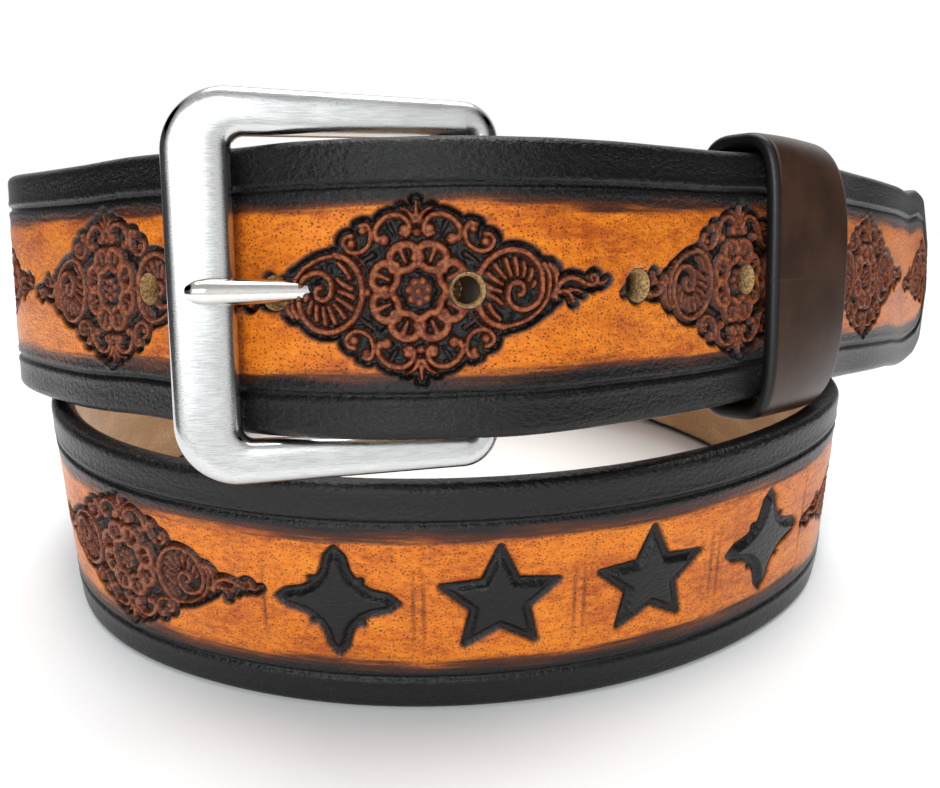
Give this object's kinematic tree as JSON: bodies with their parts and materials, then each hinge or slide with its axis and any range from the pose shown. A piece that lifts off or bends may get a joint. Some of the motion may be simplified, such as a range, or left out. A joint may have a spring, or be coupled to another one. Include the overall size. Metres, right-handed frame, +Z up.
{
  "type": "western tooled leather belt",
  "caption": "Buckled leather belt with tooled medallions, wound in two turns, with a plain frame buckle and a keeper loop.",
  "frame": {"origin": "on the surface that the belt stands on, under the middle of its bounding box", "axes": "+Z up, +X towards the strap's free tip, -Y towards the viewer of the buckle"},
  "size_m": [0.1994, 0.1454, 0.0905],
  "materials": {
    "strap_leather": "vegetable-tanned leather, orange dye with black borders, satin top coat",
    "keeper_leather": "smooth dark brown leather with black burnished edges",
    "brushed_nickel": "satin brushed nickel plate",
    "polished_nickel": "polished nickel plate"
  },
  "bodies": {
    "root": {"strap": "strap_leather", "buckle_frame": "brushed_nickel", "prong": "polished_nickel", "keeper": "keeper_leather", "fold_post_1": "brushed_nickel", "fold_post_2": "brushed_nickel"}
  },
  "joints": []
}
